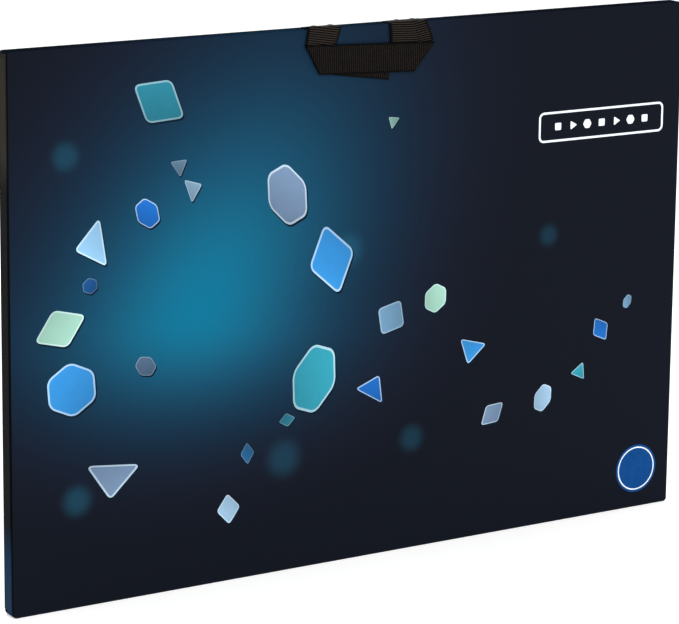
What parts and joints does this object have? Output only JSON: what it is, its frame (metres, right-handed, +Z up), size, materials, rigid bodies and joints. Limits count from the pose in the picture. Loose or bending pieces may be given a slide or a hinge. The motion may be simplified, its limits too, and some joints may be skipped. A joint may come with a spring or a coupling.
{
  "type": "jigsaw puzzle storage case",
  "caption": "Thin rigid case that stores a laid jigsaw puzzle flat: printed front, hinged back lid, felt work board inside and a folding webbing handle on the top edge.",
  "frame": {"origin": "on the floor, under the middle of the whole case with its handle folded down", "axes": "+X along the long side, to the right seen from the printed front; +Y from the front to the back; +Z up as it stands on its long edge"},
  "size_m": [0.8, 0.0232, 0.5627],
  "materials": {
    "print": "gloss",
    "board": "matte",
    "work_board": "matte",
    "lining": "matte",
    "cover_paper": "satin",
    "felt": "matte",
    "foam": "matte",
    "pocket_cloth": "matte",
    "hook_tape": "matte",
    "loop_tape": "matte",
    "hinge_cloth": "matte",
    "webbing": "matte",
    "rivet_steel": "satin",
    "plate_steel": "satin"
  },
  "bodies": {
    "base": {"front_board": "board", "printed_face": "print", "print_flaps": "print", "wall_top": "board", "wall_bottom": "board", "wall_left": "board", "wall_right": "board", "front_lining": "lining", "work_board": "work_board", "work_felt": "felt", "corner_pockets": "pocket_cloth", "hook_patches": "hook_tape", "hinge_cloth_base": "hinge_cloth", "handle_tab_left": "webbing", "handle_tab_right": "webbing", "rivets": "rivet_steel", "rivet_back_plates": "plate_steel"},
    "lid": {"lid_board": "board", "lid_cover": "cover_paper", "lid_lining": "lining", "press_pad": "foam", "loop_patches": "loop_tape", "hinge_cloth_lid": "hinge_cloth"},
    "handle": {"handle_strap": "webbing", "handle_inner_ply": "webbing"}
  },
  "joints": [
    {"name": "lid_hinge", "type": "hinge", "parent": "base", "child": "lid", "pos_m": [-0.4, 0.01165, 0.28], "axis": [0, 0, 1], "range_deg": [0, 180]},
    {"name": "handle_fold", "type": "hinge", "parent": "base", "child": "handle", "pos_m": [0, -0.00835, 0.5609], "axis": [-1, 0, 0], "range_deg": [0, 180]}
  ]
}
